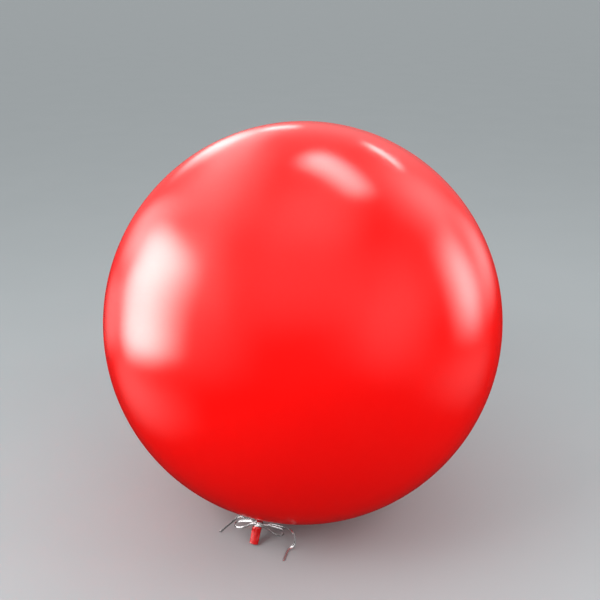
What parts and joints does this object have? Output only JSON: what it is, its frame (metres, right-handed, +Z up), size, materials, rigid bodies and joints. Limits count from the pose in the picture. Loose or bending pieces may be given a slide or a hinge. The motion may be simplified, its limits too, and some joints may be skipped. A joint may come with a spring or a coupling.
{
  "type": "giant round latex balloon tied with curling ribbon",
  "caption": "Giant round air-filled latex balloon resting on the floor, its neck gathered and tied with metallic curling ribbon in a small bow.",
  "frame": {"origin": "on the floor under the middle of the balloon, in the middle of its flattened contact patch", "axes": "+Z up as the balloon rests, -Y towards the side where the tied neck points, +X to the right of someone who looks along +Y"},
  "size_m": [0.903, 0.906, 0.9096],
  "materials": {
    "latex": "glossy stretched latex film",
    "neck_latex": "satin unstretched latex",
    "ribbon": "metallised silver film, finely ribbed"
  },
  "bodies": {
    "root": {"envelope": "latex", "neck": "neck_latex", "lip_bead": "neck_latex", "tie_wraps": "ribbon", "knot": "ribbon", "bow_loop_left": "ribbon", "bow_loop_right": "ribbon", "tail_left": "ribbon", "tail_right": "ribbon"}
  },
  "joints": []
}
